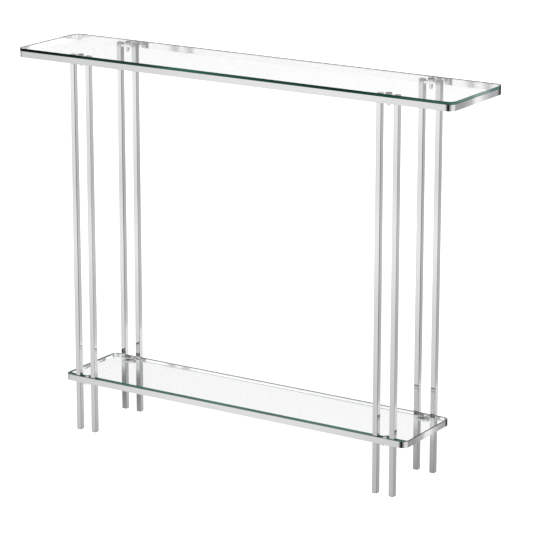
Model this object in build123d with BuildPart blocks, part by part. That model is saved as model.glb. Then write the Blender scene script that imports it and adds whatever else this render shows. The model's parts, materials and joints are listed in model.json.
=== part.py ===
"""Console table: two glass panes on polished flat-bar rings, carried by four pairs of slim square posts.

Frame: +Z up, X along the length, Y along the depth with the front at -Y.
The origin is on the floor, under the middle of the table. All sizes are in millimetres.
"""
from build123d import *
import os

# Overall size
table_height = 870
top_length = 1100
top_depth = 220
shelf_length = 892
shelf_height = 128          # top edge of the shelf ring

# Flat bar of both rings, standing on edge
bar_height = 14
bar_thickness = 3
ring_corner_radius = 16     # outside of the bend
bar_edge_radius = 0.4

# Glass
glass_thickness = 6
glass_arris = 0.7           # ground chamfer along the edges
shelf_glass_gap = 1         # between the shelf glass and what surrounds it
shelf_glass_drop = 1        # of the glass's face below the ring's top edge
shelf_glass_corner = 5

# Square tube of the posts
post_side = 12
post_wall = 1.2
post_corner_radius = 1
post_glass_gap = 2          # between the top of a post and the top glass
pair_centre_x = 390
post_row_y = 88             # middle of each row of posts
pair_pitch = 41             # between the middles of the two posts of a pair

# Plastic ends of the posts
end_lip = 1.5
end_lip_inset = 0.2
end_stem = 10
end_clearance = 0.05
end_chamfer = 0.4

# Bars, straps and lugs that join the rings to the posts
bridge_height = 5
plate_thickness = 3
strap_width = 16
lug_width = 22
lug_reach = 29              # from the shelf ring inwards
lug_corner_radius = 4
bolt_hole_radius = 2.75

# Fasteners and the pads that carry the glass
shank_radius = 2.45
thread_radius = 2.5
top_head_radius = 4.5
top_head_height = 2
top_socket_depth = 1.2
cap_nut_flats_radius = 4
cap_nut_hex_height = 4
cap_nut_dome_radius = 3.7
cap_nut_dome_height = 7
cap_nut_dome_rounding = 3.6
cap_nut_thread_reach = 8    # of the bolt into the nut
washer_radius = 5
washer_hole_radius = 2.65
washer_thickness = 1
shelf_head_radius = 4.75
shelf_head_height = 2.75
shelf_head_rounding = 1.6
shelf_socket_depth = 1.6
socket_flats_radius = 1.5
thumb_nut_neck_radius = 5.5
thumb_nut_radius = 9
thumb_nut_height = 3.4      # of the wide part, which hangs clear below the ring
thumb_nut_ring_gap = 0.3
thumb_nut_rounding = 0.9
nut_bore_floor = 1.5        # metal left below the blind thread
pad_radius = 7
pad_thickness = 3
pad_recess_radius = 4.8
pad_recess_depth = 2.2
bumper_radius = 5
bumper_thickness = 1.5
bumper_inset = 8            # from the edge of the shelf glass

# Derived places
top_glass_low = table_height - glass_thickness
top_ring_low = top_glass_low - bar_height
shelf_ring_low = shelf_height - bar_height
shelf_glass_low = shelf_height - shelf_glass_drop - glass_thickness

post_face_y = post_row_y + post_side / 2
post_top = top_glass_low - post_glass_gap
shelf_depth = 2 * (post_face_y + bar_thickness)

strap_low = top_glass_low - pad_thickness - plate_thickness
top_bridge_low = strap_low - bridge_height
lug_low = shelf_glass_low - bumper_thickness - plate_thickness
shelf_bridge_low = lug_low + plate_thickness

# Which way each place lies from the middle
sides = {"left": -1, "right": 1}
rows = {"front": -1, "back": 1}
places = {"inner": -1, "outer": 1}
corners = [(side, row) for side in sides for row in rows]

os.makedirs("parts", exist_ok=True)


def save(builder, name):
    """Label a finished piece and write it under its own name."""
    builder.part.label = name
    export_step(builder.part, f"parts/{name}.step")


def pair_centre(side, row):
    """Middle of the two posts of one pair, seen from above."""
    return sides[side] * pair_centre_x, rows[row] * post_row_y


def post_centre(side, row, place):
    x, y = pair_centre(side, row)
    return x + sides[side] * places[place] * pair_pitch / 2, y


def pair_planes(height):
    """One upward-facing plane at each pair of posts."""
    return [Plane((*pair_centre(side, row), height)) for side, row in corners]


# Rings of bent flat bar
def make_ring(name, length, depth, low):
    with BuildPart() as ring:
        with BuildSketch(Plane.XY.offset(low)):
            RectangleRounded(length, depth, ring_corner_radius)
            RectangleRounded(
                length - 2 * bar_thickness,
                depth - 2 * bar_thickness,
                ring_corner_radius - bar_thickness,
                mode=Mode.SUBTRACT,
            )
        extrude(amount=bar_height)
        levels = ring.edges().group_by(Axis.Z)
        fillet(levels[0] + levels[-1], bar_edge_radius)
    save(ring, name)


make_ring("top_ring", top_length, top_depth, top_ring_low)
make_ring("shelf_ring", shelf_length, shelf_depth, shelf_ring_low)


# Glass panes with ground edges
def make_pane(name, length, depth, corner_radius, low):
    with BuildPart() as pane:
        with BuildSketch(Plane.XY.offset(low)):
            RectangleRounded(length, depth, corner_radius)
        extrude(amount=glass_thickness)
        levels = pane.edges().group_by(Axis.Z)
        chamfer(levels[0] + levels[-1], glass_arris)
    save(pane, name)


shelf_glass_length = shelf_length - 2 * (bar_thickness + shelf_glass_gap)
shelf_glass_depth = 2 * (post_row_y - post_side / 2 - shelf_glass_gap)
make_pane("top_glass", top_length, top_depth, ring_corner_radius, top_glass_low)
make_pane("shelf_glass", shelf_glass_length, shelf_glass_depth, shelf_glass_corner, shelf_glass_low)


# Posts of square tube, with a plastic glide pressed into the bottom and a plug into the top
post_bore = post_side - 2 * post_wall
end_side = post_side - 2 * end_lip_inset
stem_side = post_bore - 2 * end_clearance


def make_post(name, x, y):
    with BuildPart() as post:
        with BuildSketch(Plane((x, y, end_lip))):
            RectangleRounded(post_side, post_side, post_corner_radius)
            Rectangle(post_bore, post_bore, mode=Mode.SUBTRACT)
        extrude(amount=post_top - 2 * end_lip)
    save(post, name)


def make_end(name, x, y, outer_face, inward):
    """A plastic end: its lip starts at outer_face and its stem runs inward (1 up, -1 down)."""
    with BuildPart() as end:
        with BuildSketch(Plane((x, y, outer_face))):
            RectangleRounded(end_side, end_side, post_corner_radius)
        extrude(amount=inward * end_lip)
        chamfer(end.faces().sort_by(Axis.Z)[0 if inward > 0 else -1].edges(), end_chamfer)
        with BuildSketch(Plane((x, y, outer_face + inward * end_lip))):
            Rectangle(stem_side, stem_side)
        extrude(amount=inward * end_stem)
    save(end, name)


for side, row in corners:
    for place in places:
        x, y = post_centre(side, row, place)
        label = f"{row}_{side}_{place}"
        make_post(f"post_{label}", x, y)
        make_end(f"glide_{label}", x, y, 0, 1)
        make_end(f"plug_{label}", x, y, post_top, -1)


# Bridge bars between the two posts of each pair, drilled for the bolt
def make_bridge(name, x, y, low):
    with BuildPart() as bridge:
        with BuildSketch(Plane((x, y, low))):
            Rectangle(pair_pitch - post_side, post_side)
            Circle(bolt_hole_radius, mode=Mode.SUBTRACT)
        extrude(amount=bridge_height)
    save(bridge, name)


# Straps from the top ring, with a round end over the bridge bar
def make_strap(name, x, y, outward):
    ring_face = top_depth / 2 - bar_thickness
    reach = ring_face - post_row_y
    with BuildPart() as strap:
        with BuildSketch(Plane((x, y, strap_low))):
            Circle(strap_width / 2)
            with Locations((0, outward * reach / 2)):
                Rectangle(strap_width, reach)
            Circle(bolt_hole_radius, mode=Mode.SUBTRACT)
        extrude(amount=plate_thickness)
    save(strap, name)


# Lugs from the shelf ring: they pass under the bridge bar and reach in under the glass
def make_lug(name, x, y, outward):
    with BuildPart() as lug:
        with BuildSketch(Plane((x, y, lug_low))) as outline:
            with Locations((0, outward * (post_side - lug_reach) / 2)):
                Rectangle(lug_width, lug_reach)
            inner_corners = outline.vertices().sort_by(Axis.Y, reverse=outward < 0)[:2]
            fillet(inner_corners, lug_corner_radius)
            Circle(bolt_hole_radius, mode=Mode.SUBTRACT)
        extrude(amount=plate_thickness)
    save(lug, name)


# Soft pads: one on each strap under the top glass, one on each lug under the shelf glass
def make_pad(name, x, y):
    with BuildPart() as pad:
        with BuildSketch(Plane((x, y, strap_low + plate_thickness))):
            Circle(pad_radius)
        extrude(amount=pad_thickness)
        with BuildSketch(Plane((x, y, strap_low + plate_thickness))):
            Circle(pad_recess_radius)
        extrude(amount=pad_recess_depth, mode=Mode.SUBTRACT)
    save(pad, name)


def make_bumper(name, x, y):
    with BuildPart() as bumper:
        with BuildSketch(Plane((x, y, shelf_bridge_low))):
            Circle(bumper_radius)
        extrude(amount=bumper_thickness)
    save(bumper, name)


bumper_y = shelf_glass_depth / 2 - bumper_inset
for side, row in corners:
    x, y = pair_centre(side, row)
    make_bridge(f"top_bridge_{row}_{side}", x, y, top_bridge_low)
    make_bridge(f"shelf_bridge_{row}_{side}", x, y, shelf_bridge_low)
    make_strap(f"top_strap_{row}_{side}", x, y, rows[row])
    make_lug(f"shelf_lug_{row}_{side}", x, y, rows[row])
    make_pad(f"glass_pad_{row}_{side}", x, y)
    make_bumper(f"shelf_bumper_{row}_{side}", x, rows[row] * bumper_y)


# Bolts of the top joint: a low head hidden in the pad, and the shank down through strap and bridge
top_head_low = strap_low + plate_thickness
cap_nut_top = top_bridge_low - washer_thickness
with BuildPart() as top_bolts:
    with BuildSketch(*pair_planes(top_head_low)):
        Circle(top_head_radius)
    extrude(amount=top_head_height)
    with BuildSketch(*pair_planes(top_head_low + top_head_height)):
        RegularPolygon(socket_flats_radius, 6, major_radius=False)
    extrude(amount=-top_socket_depth, mode=Mode.SUBTRACT)
    with BuildSketch(*pair_planes(top_head_low)):
        Circle(shank_radius)
    extrude(amount=cap_nut_top - cap_nut_thread_reach - top_head_low)
save(top_bolts, "top_bolts")

# Washers and domed cap nuts under the top bridge bars
with BuildPart() as washers:
    with BuildSketch(*pair_planes(cap_nut_top)):
        Circle(washer_radius)
        Circle(washer_hole_radius, mode=Mode.SUBTRACT)
    extrude(amount=washer_thickness)
save(washers, "top_washers")

cap_nut_low = cap_nut_top - cap_nut_hex_height - cap_nut_dome_height
with BuildPart() as cap_nuts:
    with BuildSketch(*pair_planes(cap_nut_low)):
        Circle(cap_nut_dome_radius)
    extrude(amount=cap_nut_dome_height)
    fillet(cap_nuts.edges().group_by(Axis.Z)[0], cap_nut_dome_rounding)
    with BuildSketch(*pair_planes(cap_nut_top - cap_nut_hex_height)):
        RegularPolygon(cap_nut_flats_radius, 6, major_radius=False)
    extrude(amount=cap_nut_hex_height)
    with BuildSketch(*pair_planes(cap_nut_top)):
        Circle(thread_radius)
    extrude(amount=cap_nut_low + nut_bore_floor - cap_nut_top, mode=Mode.SUBTRACT)
save(cap_nuts, "top_cap_nuts")

# Bolts of the shelf joint: a button head on the bridge bar, and the shank down through bar and lug
thumb_nut_top = shelf_ring_low - thumb_nut_ring_gap
thumb_nut_low = thumb_nut_top - thumb_nut_height
thumb_nut_bore_low = thumb_nut_low + nut_bore_floor
shelf_head_low = shelf_bridge_low + bridge_height
with BuildPart() as shelf_bolts:
    with BuildSketch(*pair_planes(shelf_head_low)):
        Circle(shelf_head_radius)
    extrude(amount=shelf_head_height)
    fillet(shelf_bolts.edges().group_by(Axis.Z)[-1], shelf_head_rounding)
    with BuildSketch(*pair_planes(shelf_head_low + shelf_head_height)):
        RegularPolygon(socket_flats_radius, 6, major_radius=False)
    extrude(amount=-shelf_socket_depth, mode=Mode.SUBTRACT)
    with BuildSketch(*pair_planes(shelf_head_low)):
        Circle(shank_radius)
    extrude(amount=thumb_nut_bore_low - shelf_head_low)
save(shelf_bolts, "shelf_bolts")

# Thumb nuts under the shelf lugs: a narrow neck inside the ring and a wide round head below it
with BuildPart() as thumb_nuts:
    with BuildSketch(*pair_planes(thumb_nut_low)):
        Circle(thumb_nut_radius)
    extrude(amount=thumb_nut_height)
    levels = thumb_nuts.edges().group_by(Axis.Z)
    fillet(levels[0] + levels[-1], thumb_nut_rounding)
    with BuildSketch(*pair_planes(thumb_nut_top)):
        Circle(thumb_nut_neck_radius)
    extrude(amount=lug_low - thumb_nut_top)
    with BuildSketch(*pair_planes(lug_low)):
        Circle(thread_radius)
    extrude(amount=thumb_nut_bore_low - lug_low, mode=Mode.SUBTRACT)
save(thumb_nuts, "shelf_thumb_nuts")
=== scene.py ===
import json
import math

import bmesh
import bpy
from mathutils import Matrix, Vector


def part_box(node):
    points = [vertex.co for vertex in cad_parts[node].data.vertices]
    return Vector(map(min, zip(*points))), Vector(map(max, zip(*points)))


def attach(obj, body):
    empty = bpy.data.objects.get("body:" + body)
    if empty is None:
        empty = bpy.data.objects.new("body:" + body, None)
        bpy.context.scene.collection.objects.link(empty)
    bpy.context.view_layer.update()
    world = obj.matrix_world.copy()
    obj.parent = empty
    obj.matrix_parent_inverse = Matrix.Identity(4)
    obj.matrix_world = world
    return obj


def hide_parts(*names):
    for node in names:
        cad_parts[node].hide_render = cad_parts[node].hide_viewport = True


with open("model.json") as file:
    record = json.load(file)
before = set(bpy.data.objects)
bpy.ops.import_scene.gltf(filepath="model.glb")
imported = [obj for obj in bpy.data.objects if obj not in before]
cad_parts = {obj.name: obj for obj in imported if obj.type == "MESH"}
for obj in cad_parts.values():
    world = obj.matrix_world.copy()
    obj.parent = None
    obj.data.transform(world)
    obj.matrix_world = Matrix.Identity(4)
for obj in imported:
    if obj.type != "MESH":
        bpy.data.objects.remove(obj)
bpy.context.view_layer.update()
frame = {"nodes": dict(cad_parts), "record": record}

scene = bpy.context.scene
nodes = frame["nodes"]

# Camera, at the photograph's viewing angle
SENSOR_WIDTH = 36.0         # mm
IMAGE_WIDTH = 533.0         # pixels
FOCAL_LENGTH = 2623.1       # pixels
CAMERA_PLACE = (3.0159, -4.6382, 1.9392)
CAMERA_TURN = math.radians(32.71)
CAMERA_TILT = math.radians(15.322)      # below level

camera_data = bpy.data.cameras.new("camera")
camera_data.sensor_width = SENSOR_WIDTH
camera_data.lens = FOCAL_LENGTH * SENSOR_WIDTH / IMAGE_WIDTH
camera_data.clip_start = 0.1
camera_data.clip_end = 100.0
camera = bpy.data.objects.new("camera", camera_data)
camera.location = CAMERA_PLACE
camera.rotation_euler = (math.pi / 2 - CAMERA_TILT, 0.0, CAMERA_TURN)
scene.collection.objects.link(camera)
scene.camera = camera


# Node helpers. A socket stands for a value that changes over the surface.
RIGHT = (1, 0, 0)
LEFT = (-1, 0, 0)
BACK = (0, 1, 0)
FRONT = (0, -1, 0)
UP = (0, 0, 1)
WHITE = (1, 1, 1, 1)
NOISE_LOW = 0.3             # most of a noise lies between these
NOISE_HIGH = 0.7
MIX_FACTOR = 0              # places of a Mix node's colour sockets
MIX_FIRST = 6
MIX_SECOND = 7
MIX_RESULT = 2


def new_material(name):
    mat = bpy.data.materials.new(name)
    mat.use_nodes = True
    tree = mat.node_tree
    tree.nodes.clear()
    out = tree.nodes.new("ShaderNodeOutputMaterial")
    return mat, tree, out


def add(tree, kind, **inputs):
    """A node with its inputs set. An underscore stands for a space in an input's name."""
    node = tree.nodes.new(kind)
    for key, value in inputs.items():
        node.inputs[key.replace("_", " ")].default_value = value
    return node


def put(tree, value, socket):
    """Link a socket to an input, or set the input to a plain value."""
    if isinstance(value, bpy.types.NodeSocket):
        tree.links.new(value, socket)
    else:
        socket.default_value = value


def tones(tree, source, stops, interpolation="LINEAR"):
    """A grey or colour that follows source from stop to stop."""
    node = tree.nodes.new("ShaderNodeValToRGB")
    node.color_ramp.interpolation = interpolation
    while len(node.color_ramp.elements) < len(stops):
        node.color_ramp.elements.new(1.0)
    for element, (place, tone) in zip(node.color_ramp.elements, stops):
        element.position = place
        element.color = (tone, tone, tone, 1) if isinstance(tone, (int, float)) else (*tone, 1)
    tree.links.new(source, node.inputs["Fac"])
    return node.outputs["Color"]


def noise(tree, scale, detail=2.0, stretch=(1, 1, 1)):
    """Noise in the object's own metres."""
    place = add(tree, "ShaderNodeTexCoord")
    mapping = add(tree, "ShaderNodeMapping", Scale=stretch)
    field = add(tree, "ShaderNodeTexNoise", Scale=scale, Detail=detail)
    tree.links.new(place.outputs["Object"], mapping.inputs["Vector"])
    tree.links.new(mapping.outputs[0], field.inputs["Vector"])
    return field.outputs["Fac"]


def blend(tree, kind, factor, first, second):
    """Two colours blended. Each of factor, first and second is a socket or a plain value."""
    node = tree.nodes.new("ShaderNodeMix")
    node.data_type = "RGBA"
    node.blend_type = kind
    put(tree, factor, node.inputs[MIX_FACTOR])
    put(tree, first, node.inputs[MIX_FIRST])
    put(tree, second, node.inputs[MIX_SECOND])
    return node.outputs[MIX_RESULT]


def mix(tree, factor, first, second):
    return blend(tree, "MIX", factor, first, second)


def multiply(tree, first, second):
    return blend(tree, "MULTIPLY", 1.0, first, second)


def math_node(tree, operation, *values):
    node = tree.nodes.new("ShaderNodeMath")
    node.operation = operation
    for socket, value in zip(node.inputs, values):
        put(tree, value, socket)
    return node.outputs[0]


def along(tree, direction, low, high):
    """0 to 1 from low to high metres along a direction of the object."""
    place = add(tree, "ShaderNodeTexCoord")
    dot = tree.nodes.new("ShaderNodeVectorMath")
    dot.operation = "DOT_PRODUCT"
    dot.inputs[1].default_value = direction
    tree.links.new(place.outputs["Object"], dot.inputs[0])
    reach = add(tree, "ShaderNodeMapRange", From_Min=low, From_Max=high)
    tree.links.new(dot.outputs["Value"], reach.inputs["Value"])
    return reach.outputs[0]


def graded(tree, direction, stops, interpolation="LINEAR"):
    """Tones along a direction of the object. Each stop is a distance in metres and its tone."""
    low = stops[0][0]
    high = stops[-1][0]
    fractions = [((place - low) / (high - low), tone) for place, tone in stops]
    return tones(tree, along(tree, direction, low, high), fractions, interpolation)


def axis(tree, what, name):
    """The X, Y or Z of a point of the object (what is "Object") or of its surface's direction ("Normal")."""
    place = add(tree, "ShaderNodeTexCoord")
    axes = tree.nodes.new("ShaderNodeSeparateXYZ")
    tree.links.new(place.outputs[what], axes.inputs[0])
    return axes.outputs[name]


def sideways(tree):
    """1 on faces to the left and right, 0 on faces to the front, back, top and bottom."""
    return math_node(tree, "ABSOLUTE", axis(tree, "Normal", "X"))


def facing(tree, name, sign):
    """1 on faces that look away from the table's middle along X or Y (sign 1) or towards it (-1), else 0."""
    away = math_node(tree, "MULTIPLY", axis(tree, "Object", name), axis(tree, "Normal", name))
    return tones(tree, math_node(tree, "MULTIPLY", away, 10.0 * sign), [(0.2, 0.0), (0.7, 1.0)])


# Steel
STREAK_SCALE = 60.0
TINT_SCALE = 6.0
DULLER_ROUGHNESS = 0.12


def polished_steel(name, colour, roughness, stretch, tint_spread, shade=None, duller=None):
    """Mirror-polished steel: faint polishing streaks in its roughness, which runs between two values, and a
    little tone variation. shade gives its painted shade and painted reflections, and duller says which faces
    are less polished."""
    mat, tree, out = new_material(name)
    metal = add(tree, "ShaderNodeBsdfPrincipled", Metallic=1.0)
    streaks = noise(tree, STREAK_SCALE, 3.0, stretch)
    streaks = tones(tree, streaks, [(NOISE_LOW, roughness[0]), (NOISE_HIGH, roughness[1])])
    if duller:
        streaks = mix(tree, duller(tree), streaks, (DULLER_ROUGHNESS, DULLER_ROUGHNESS, DULLER_ROUGHNESS, 1))
    tree.links.new(streaks, metal.inputs["Roughness"])
    dark = tuple(c * (1 - tint_spread) for c in colour)
    tone = tones(tree, noise(tree, TINT_SCALE), [(NOISE_LOW, dark), (NOISE_HIGH, colour)])
    if shade:
        tone = multiply(tree, tone, shade(tree))
    tree.links.new(tone, metal.inputs["Base Color"])
    tree.links.new(metal.outputs[0], out.inputs["Surface"])
    return mat


def post_side_painted_shade(tree, left):
    """Painted shade up the side faces, lightest just above the shelf as a painted highlight, and more so
    there on the front left pair.
    """
    painted_side_shade = graded(tree, UP, [
        (0.0, 0.62), (0.11, 0.64), (0.13, 0.98), (0.195, 0.98),
        (0.21, 0.72), (0.26, 0.6), (0.35, 0.52), (0.5, 0.5),
    ])
    # Painted highlight just above the shelf, on the front left pair only
    painted_highlight_above_shelf = graded(tree, UP, [(0.135, 1.0), (0.145, 1.35), (0.19, 1.35), (0.205, 1.0)])
    left_front = math_node(tree, "MULTIPLY", left, along(tree, FRONT, 0.0, 0.05))
    return blend(tree, "MULTIPLY", left_front, painted_side_shade, painted_highlight_above_shelf)


def post_foot_painted_shade(tree, side, left):
    """Painted shade and painted highlight up the lower ends of the back posts' front faces, with a painted
    dark line just above the shelf glass.
    The back posts, and the posts on the left, are also a little darker all the way up, as painted shade."""
    left_feet_painted_shade = graded(tree, UP, [
        (0.0, 0.6), (0.03, 0.46), (0.06, 0.34), (0.0745, 0.4), (0.089, 0.75), (0.1025, 1.4), (0.115, 1.6),
        (0.125, 1.5), (0.1295, 1.15), (0.1335, 1.15), (0.135, 0.3), (0.1415, 0.3), (0.143, 1.15),
    ])
    right_feet_painted_shade = graded(tree, UP, [
        (0.0, 0.7), (0.035, 0.84), (0.072, 0.86), (0.089, 1.15), (0.1025, 1.5), (0.115, 1.6),
        (0.125, 1.4), (0.1265, 1.1), (0.128, 0.3), (0.1345, 0.3), (0.136, 1.1),
    ])
    feet_painted_shade = mix(tree, side, mix(tree, left, right_feet_painted_shade, left_feet_painted_shade), WHITE)
    behind = along(tree, BACK, 0.0, 0.05)
    feet_painted_shade = mix(tree, behind, WHITE, multiply(tree, feet_painted_shade, (0.9, 0.9, 0.9, 1)))
    return multiply(tree, feet_painted_shade, graded(tree, LEFT, [(-0.12, 1.0), (0.12, 0.95)]))


def post_top_painted_shade(tree, side, left):
    """Painted shade at the tops of the back posts. The front posts end too low along this direction to have
    it.
    """
    back_and_up = (0, 0.5, 1)
    front_top_painted_shade = graded(tree, back_and_up, [(0.892, 1.0), (0.899, 0.4), (0.906, 0.3)])
    left_top_painted_shade = graded(tree, back_and_up, [(0.843, 1.0), (0.864, 0.12), (0.906, 0.04)])
    right_top_painted_shade = graded(tree, back_and_up, [(0.843, 1.0), (0.878, 0.6), (0.906, 0.2)])
    return mix(tree, side, front_top_painted_shade, mix(tree, left, right_top_painted_shade, left_top_painted_shade))


def post_painted_shade(bend):
    """Painted shade and painted reflections of a post: greys on its side faces, a painted reflection line of
    the given grey down each bend, and painted shade at its lower end and its top.
    """
    def shade(tree):
        side = sideways(tree)
        left = along(tree, LEFT, -0.3, 0.3)
        faces = mix(tree, side, WHITE, post_side_painted_shade(tree, left))
        # A painted reflection line down each bend, fading out near the foot
        painted_bend_lines = tones(tree, side, [(0.12, 0.0), (0.3, 1.0), (0.85, 1.0), (0.97, 0.0)])
        painted_bend_lines = multiply(tree, painted_bend_lines, graded(tree, UP, [(0.1, 0.2), (0.25, 1.0)]))
        faces = mix(tree, painted_bend_lines, faces, (bend, bend, bend, 1))
        ends = multiply(tree, post_top_painted_shade(tree, side, left), post_foot_painted_shade(tree, side, left))
        turned_back = tones(tree, axis(tree, "Normal", "Y"), [(0.3, 0.0), (0.7, 1.0)])
        return multiply(tree, faces, mix(tree, turned_back, ends, WHITE))
    return shade


# Painted reflections along a ring's ends, in half depths from the middle: bright in the middle, dark at the
# back bends
RING_END_PAINTED_SHADE = [
    (-0.96, 0.9), (-0.91, 0.9), (-0.86, 0.36), (-0.6, 0.35), (-0.28, 0.52), (-0.1, 1.0), (0.05, 1.0),
    (0.25, 0.66), (0.45, 0.46), (0.6, 0.4), (0.77, 0.37), (0.785, 0.01), (0.945, 0.01), (0.97, 0.9),
]
# Painted dark reflection lines round a ring's bends, by how far the face is turned to the left (-1) or right
# (1)
RING_BEND_PAINTED_LINES = [
    (-0.5, 1.0), (-0.42, 0.6), (-0.15, 0.6), (-0.1, 1.0),
    (0.16, 1.0), (0.2, 0.03), (0.47, 0.03), (0.51, 0.5), (0.62, 0.6), (0.72, 1.0),
]


def ring_painted_shade(node, long_tones_with_painted_light, end_painted_shade, rim_width, rim_painted_shade):
    """Painted reflections and painted shade on a ring's outer faces: long_tones_with_painted_light along the
    long bars, the end pattern times end_painted_shade along the ends with painted dark lines at the bends,
    and rim_painted_shade, a painted dark line, on a narrow rim along its upper edge."""
    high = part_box(node)[1]
    rim_low = high.z - rim_width
    end_stops = [(place * high.y, tone * end_painted_shade) for place, tone in RING_END_PAINTED_SHADE]
    bend_stops = [((turn + 1) / 2, tone) for turn, tone in RING_BEND_PAINTED_LINES]

    def shade(tree):
        bars = mix(tree, facing(tree, "Y", 1), WHITE, graded(tree, RIGHT, long_tones_with_painted_light))
        turned = math_node(tree, "MULTIPLY_ADD", axis(tree, "Normal", "X"), 0.5, 0.5)
        painted_bend_lines = tones(tree, turned, bend_stops)
        ends = multiply(tree, graded(tree, BACK, end_stops), painted_bend_lines)
        faces = mix(tree, facing(tree, "X", 1), bars, ends)
        # A painted dark line on the narrow rim along the upper edge
        rim = graded(tree, UP, [(rim_low, 1.0), (rim_low + 0.0003, rim_painted_shade)])
        return multiply(tree, faces, rim)
    return shade


def inner_faces(tree):
    """1 on a ring's faces that look towards the table's middle, 0 on the others."""
    return blend(tree, "LIGHTEN", 1.0, facing(tree, "X", -1), facing(tree, "Y", -1))


POST_COLOUR = (0.565, 0.565, 0.575)
BAR_COLOUR = (0.8, 0.8, 0.81)
RING_COLOUR = (0.98, 0.98, 0.985)
FASTENER_COLOUR = (0.96, 0.96, 0.96)
POST_ROUGHNESS = (0.03, 0.08)
BAR_ROUGHNESS = (0.04, 0.10)
FASTENER_ROUGHNESS = (0.25, 0.35)
UPRIGHT_STREAKS = (1, 1, 0.02)
LEVEL_STREAKS = (0.02, 0.02, 1)
NO_STREAKS = (1, 1, 1)

# Both post steels carry painted shade; their bend lines are painted reflections, dark on post_steel and pale
# on plain_post_steel
post_steel = polished_steel(
    "post_steel", POST_COLOUR, POST_ROUGHNESS, UPRIGHT_STREAKS, 0.05, post_painted_shade(0.1))
plain_post_steel = polished_steel(
    "plain_post_steel", POST_COLOUR, POST_ROUGHNESS, UPRIGHT_STREAKS, 0.05, post_painted_shade(0.45))
bar_steel = polished_steel("bar_steel", BAR_COLOUR, BAR_ROUGHNESS, LEVEL_STREAKS, 0.05)
# Painted reflections along the outer faces of the top ring's long bars, from left to right
top_bar_painted_shade = [
    (-0.55, 0.42), (-0.33, 0.44), (-0.165, 0.48), (0.0, 0.515), (0.165, 0.535), (0.33, 0.55), (0.495, 0.51),
]
top_ring_steel = polished_steel(
    "top_ring_steel", RING_COLOUR, BAR_ROUGHNESS, LEVEL_STREAKS, 0.05,
    ring_painted_shade("top_ring", top_bar_painted_shade, 0.53, 0.0004, 0.03), inner_faces)
# Painted reflections along the outer faces of the shelf ring's long bars, from left to right
shelf_bar_painted_shade = [(-0.44, 0.56), (-0.275, 0.63), (-0.11, 0.72), (0.22, 0.75), (0.44, 0.67)]
shelf_ring_steel = polished_steel(
    "shelf_ring_steel", RING_COLOUR, BAR_ROUGHNESS, LEVEL_STREAKS, 0.05,
    ring_painted_shade("shelf_ring", shelf_bar_painted_shade, 0.8, 0.0005, 0.15), inner_faces)
fastener_steel = polished_steel("fastener_steel", FASTENER_COLOUR, FASTENER_ROUGHNESS, NO_STREAKS, 0.1)


# Plastic and rubber
GRAIN_BUMP = 0.15
GRAIN_DEPTH = 0.0002


def moulded(name, low, high, rough, scale):
    """Moulded plastic or rubber with a fine grain between two colours."""
    mat, tree, out = new_material(name)
    body = add(tree, "ShaderNodeBsdfPrincipled", Roughness=rough)
    grain = noise(tree, scale, 4.0)
    colour = tones(tree, grain, [(NOISE_LOW, low), (NOISE_HIGH, high)])
    tree.links.new(colour, body.inputs["Base Color"])
    relief = add(tree, "ShaderNodeBump", Strength=GRAIN_BUMP, Distance=GRAIN_DEPTH)
    tree.links.new(grain, relief.inputs["Height"])
    tree.links.new(relief.outputs[0], body.inputs["Normal"])
    tree.links.new(body.outputs[0], out.inputs["Surface"])
    return mat


glide_plastic = moulded("glide_plastic", (0.10, 0.10, 0.10), (0.16, 0.16, 0.16), 0.5, 900.0)
plug_plastic = moulded("plug_plastic", (0.02, 0.02, 0.02), (0.04, 0.04, 0.04), 0.4, 900.0)
pad_rubber = moulded("pad_rubber", (0.3, 0.32, 0.31), (0.4, 0.42, 0.41), 0.35, 500.0)


# Glass
GLASS_IOR = 1.52
EDGE_IOR = 1.15             # low, so that a ground edge hardly shines
EDGE_ROUGHNESS = 0.2
EDGE_STREAK_SCALE = 9.0


def mix_shaders(tree, factor, first, second, out):
    """Send two shaders to the output, the second one where factor is 1."""
    mixed = add(tree, "ShaderNodeMixShader")
    tree.links.new(factor, mixed.inputs[0])
    tree.links.new(first.outputs[0], mixed.inputs[1])
    tree.links.new(second.outputs[0], mixed.inputs[2])
    tree.links.new(mixed.outputs[0], out.inputs["Surface"])


def clear_glass(name, colour):
    """Clear float glass that lets light through to what is under it."""
    mat, tree, out = new_material(name)
    glass = add(
        tree, "ShaderNodeBsdfPrincipled",
        Base_Color=(*colour, 1), Roughness=0.0, IOR=GLASS_IOR, Transmission_Weight=1.0,
    )
    through = add(tree, "ShaderNodeBsdfTransparent", Color=(*colour, 1))
    path = add(tree, "ShaderNodeLightPath")
    mix_shaders(tree, path.outputs["Is Shadow Ray"], glass, through, out)
    return mat


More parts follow.
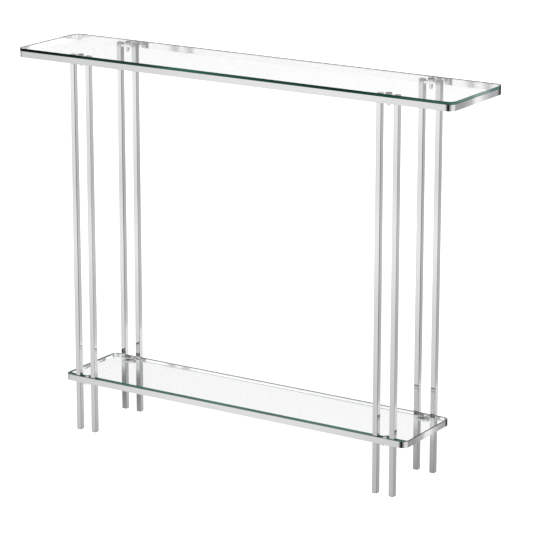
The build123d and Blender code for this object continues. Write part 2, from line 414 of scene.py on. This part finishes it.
def glass_edge(name, node, long_tones_with_painted_light, short_tones_with_painted_light, back, inside):
    """The ground edge of a pane, where light has run through the glass and comes out green: the glass's own
    green with painted light.
    Its greens lighten and darken along the long and the short edges as painted light, back is a pale painted
    light laid over the back edge, and inside is a painted tone for how the edge looks from within the pane."""
    mat, tree, out = new_material(name)
    body = add(tree, "ShaderNodeBsdfPrincipled", Roughness=EDGE_ROUGHNESS, IOR=EDGE_IOR)
    long_edge = graded(tree, RIGHT, long_tones_with_painted_light, "EASE")
    short_edge = graded(tree, BACK, short_tones_with_painted_light, "EASE")
    if back:
        half_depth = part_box(node)[1].y
        painted_light_at_back_edge = graded(tree, BACK, [(0.4 * half_depth, 0.0), (0.9 * half_depth, 1.0)])
        long_edge = mix(tree, painted_light_at_back_edge, long_edge, (*back, 1))
    at_ends = tones(tree, sideways(tree), [(0.35, 0.0), (0.9, 1.0)])
    green = mix(tree, at_ends, long_edge, short_edge)
    streaks = noise(tree, EDGE_STREAK_SCALE, 3.0, (1, 1, 6))
    streaks = tones(tree, streaks, [(NOISE_LOW, 0.8), (NOISE_HIGH, 1.0)])
    tree.links.new(multiply(tree, green, streaks), body.inputs["Base Color"])
    within = add(tree, "ShaderNodeBsdfDiffuse", Color=(*inside, 1))
    side = tree.nodes.new("ShaderNodeNewGeometry")
    mix_shaders(tree, side.outputs["Backfacing"], body, within, out)
    return mat


top_face = clear_glass("top_glass_face", (0.985, 0.99, 0.987))
# The top pane's edge greens lighten and darken along its edges as painted light over the glass's green, and
# from within the pane the edge is a painted dark tone
top_edge = glass_edge(
    "top_glass_edge", "top_glass",
    [
        (-0.55, (0.0, 0.009, 0.006)), (-0.506, (0.0, 0.004, 0.003)), (-0.407, (0.0, 0.012, 0.008)),
        (-0.33, (0.004, 0.032, 0.024)), (-0.209, (0.012, 0.047, 0.04)), (-0.11, (0.034, 0.135, 0.105)),
        (0.022, (0.014, 0.075, 0.056)), (0.154, (0.009, 0.05, 0.04)), (0.275, (0.002, 0.03, 0.022)),
        (0.396, (0.006, 0.056, 0.037)), (0.473, (0.035, 0.105, 0.085)), (0.55, (0.03, 0.1, 0.08)),
    ],
    [
        (-0.099, (0.1, 0.19, 0.17)), (-0.037, (0.15, 0.26, 0.23)), (-0.002, (0.28, 0.41, 0.4)),
        (0.031, (0.3, 0.42, 0.4)), (0.064, (0.11, 0.22, 0.2)), (0.086, (0.1, 0.2, 0.18)),
        (0.0945, (0.01, 0.04, 0.035)),
    ],
    None, (0.012, 0.014, 0.013),
)
shelf_face = clear_glass("shelf_glass_face", (0.95, 0.96, 0.955))
# The shelf pane's edge greens are painted light over the glass's green, with a pale painted light over the
# back edge and a pale painted tone from within
shelf_edge = glass_edge(
    "shelf_glass_edge", "shelf_glass",
    [(-0.442, (0.09, 0.22, 0.18)), (0.0, (0.12, 0.27, 0.225)), (0.442, (0.13, 0.28, 0.235))],
    [(-0.081, (0.1, 0.24, 0.2)), (0.081, (0.22, 0.36, 0.32))],
    (0.6, 0.68, 0.66), (0.85, 0.87, 0.86),
)

# Materials of the CAD nodes. The left post of each pair has darker bends, a painted reflection of its
# neighbour.
by_slot = {
    "post_steel": post_steel,
    "bar_steel": bar_steel,
    "fastener_steel": fastener_steel,
    "glide_plastic": glide_plastic,
    "plug_plastic": plug_plastic,
    "pad_rubber": pad_rubber,
    "bumper_rubber": pad_rubber,
}
by_node = {"top_ring": top_ring_steel, "shelf_ring": shelf_ring_steel}
for row in ("front", "back"):
    for right_post in ("left_inner", "right_outer"):
        by_node[f"post_{row}_{right_post}"] = plain_post_steel
GLASS_SLOTS = ("top_glass", "shelf_glass")
for part in frame["record"]["subparts"]:
    if part["material_slot"] in GLASS_SLOTS:
        continue
    mat = by_node.get(part["node"]) or by_slot[part["material_slot"]]
    for slot in nodes[part["node"]].material_slots:
        slot.material = mat


# Glass panes, with rounded corners and ground edges in their own green with painted light
ARRIS = 0.0007
CORNER_STEPS = 12
FACE_SLOT, EDGE_SLOT = 0, 1


def make_pane(name, node, corner, face_mat, edge_mat):
    low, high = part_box(node)

    def outline(inset, z):
        points = []
        radius = corner - inset
        for side_x, side_y, start in ((1, 1, 0), (-1, 1, 90), (-1, -1, 180), (1, -1, 270)):
            centre_x = (high.x if side_x > 0 else low.x) - side_x * corner
            centre_y = (high.y if side_y > 0 else low.y) - side_y * corner
            for i in range(CORNER_STEPS + 1):
                angle = math.radians(start + 90 * i / CORNER_STEPS)
                x = centre_x + radius * math.cos(angle)
                y = centre_y + radius * math.sin(angle)
                points.append((x, y, z))
        return points

    bm = bmesh.new()
    levels = [
        outline(ARRIS, low.z),
        outline(0.0, low.z + ARRIS),
        outline(0.0, high.z - ARRIS),
        outline(ARRIS, high.z),
    ]
    rings = [[bm.verts.new(point) for point in level] for level in levels]
    for face in (bm.faces.new(rings[0][::-1]), bm.faces.new(rings[-1])):
        face.material_index = FACE_SLOT
    count = len(rings[0])
    for lower_ring, upper_ring in zip(rings, rings[1:]):
        for i in range(count):
            j = (i + 1) % count
            face = bm.faces.new((lower_ring[i], lower_ring[j], upper_ring[j], upper_ring[i]))
            face.material_index = EDGE_SLOT
            face.smooth = True
    bm.normal_update()
    mesh = bpy.data.meshes.new(name)
    bm.to_mesh(mesh)
    bm.free()
    mesh.materials.append(face_mat)
    mesh.materials.append(edge_mat)
    pane = bpy.data.objects.new(name, mesh)
    scene.collection.objects.link(pane)
    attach(pane, "root")
    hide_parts(node)


make_pane("top_pane", "top_glass", 0.016, top_face, top_edge)
make_pane("shelf_pane", "shelf_glass", 0.005, shelf_face, shelf_edge)


# Floor: a white sweep that glows, a little brighter away from the table. Reflections leave it out and show
# the lower half of the studio instead.
FLOOR_HALF = 60.0
FLOOR_GLOW = 1.46
DIM_RADIUS = 0.9
BRIGHT_RADIUS = 3.2


def make_floor():
    mat, tree, out = new_material("floor")
    away = tree.nodes.new("ShaderNodeVectorMath")
    away.operation = "LENGTH"
    tree.links.new(add(tree, "ShaderNodeTexCoord").outputs["Object"], away.inputs[0])
    reach = add(tree, "ShaderNodeMapRange", From_Min=DIM_RADIUS, From_Max=BRIGHT_RADIUS)
    tree.links.new(away.outputs["Value"], reach.inputs["Value"])
    glow = add(tree, "ShaderNodeEmission", Strength=FLOOR_GLOW)
    tree.links.new(tones(tree, reach.outputs[0], [(0.0, 0.8), (1.0, 1.0)]), glow.inputs["Color"])
    tree.links.new(glow.outputs[0], out.inputs["Surface"])

    corners = [(-1, -1), (1, -1), (1, 1), (-1, 1)]
    mesh = bpy.data.meshes.new("floor")
    mesh.from_pydata([(x * FLOOR_HALF, y * FLOOR_HALF, 0) for x, y in corners], [], [(0, 1, 2, 3)])
    mesh.materials.append(mat)
    floor = bpy.data.objects.new("floor", mesh)
    floor.visible_glossy = False
    scene.collection.objects.link(floor)


make_floor()


# Soft light from a white studio. Towards the floor the studio's greys change round the compass, as
# screens and gaps between them do, so polished metal shows soft greys with dark lines at its bends.
STUDIO_STRENGTH = 2.0
ROUND_SCALE = 1 / 1.3       # keeps the tones round the compass within a ramp's 0 to 1
HEIGHT_SCALE = 1 / 1.1      # does the same for the tones by height
# Degrees from the front (-Y) towards the right (+X), and the tone there
ROUND_TONES = [
    (-90, 0.8), (-60, 0.9), (-42, 1.0), (-27.5, 1.0), (-23, 0.4), (-12, 0.4), (-8, 0.6), (12, 0.6), (18, 0.9),
    (30, 1.0), (38, 0.85), (52, 0.85), (60, 1.1), (122, 1.1), (128, 0.8), (136, 0.8), (140, 1.3), (146, 1.3),
    (149.5, 1.12), (152.8, 1.12), (156, 0.06), (166, 0.06), (170, 0.6), (186, 0.6), (189, 0.1), (196, 0.1),
    (201, 1.0), (215, 0.8), (235, 0.8), (250, 0.95), (270, 0.8),
]
# Degrees above the horizon, and the tone there: below it times the tones round the compass, above it alone
LOWER_TONES = [
    (-90, 0.95), (-40, 0.9), (-28, 0.7), (-22, 0.58), (-19.2, 0.66), (-18.4, 0.77), (-17.4, 0.84),
    (-16.5, 0.88), (-15.8, 0.94), (-15.2, 1.05), (-14.6, 1.1), (-14.1, 1.03), (-13.6, 0.93), (-12.9, 0.96),
    (-12.3, 1.04), (-11.7, 1.07), (-11.2, 1.1), (-8, 1.1),
]
UPPER_TONES = [(3, 0.3), (8, 0.275), (24, 0.275), (34, 0.49), (90, 0.49)]


def compass_place(degrees):
    """Place on the compass ramp of a direction round the table."""
    return degrees / 360 + 0.25


def height_place(degrees):
    """Place on the height ramp of a direction so far above the horizon."""
    return math.sin(math.radians(degrees)) / 2 + 0.5


def make_studio():
    world = bpy.data.worlds.new("studio")
    scene.world = world
    world.use_nodes = True
    tree = world.node_tree
    tree.nodes.clear()
    sky = tree.nodes.new("ShaderNodeTexCoord")
    compass = tree.nodes.new("ShaderNodeTexGradient")
    compass.gradient_type = "RADIAL"
    tree.links.new(sky.outputs["Generated"], compass.inputs[0])
    axes = tree.nodes.new("ShaderNodeSeparateXYZ")
    tree.links.new(sky.outputs["Generated"], axes.inputs[0])
    height = math_node(tree, "MULTIPLY_ADD", axes.outputs["Z"], 0.5, 0.5)

    round_stops = [(compass_place(a), tone * ROUND_SCALE) for a, tone in ROUND_TONES]
    lower_stops = [(height_place(a), tone * HEIGHT_SCALE) for a, tone in LOWER_TONES]
    upper_stops = [(height_place(a), tone) for a, tone in UPPER_TONES]
    round_tones = tones(tree, compass.outputs["Fac"], round_stops, "EASE")
    lower = multiply(tree, round_tones, tones(tree, height, lower_stops))
    upper = tones(tree, height, upper_stops)
    above = tones(tree, height, [(height_place(-4), 0.0), (height_place(3), 1.0)], "EASE")
    background = add(tree, "ShaderNodeBackground", Strength=STUDIO_STRENGTH)
    tree.links.new(mix(tree, above, lower, upper), background.inputs[0])
    out = tree.nodes.new("ShaderNodeOutputWorld")
    tree.links.new(background.outputs[0], out.inputs[0])


make_studio()

scene.view_settings.view_transform = "Standard"
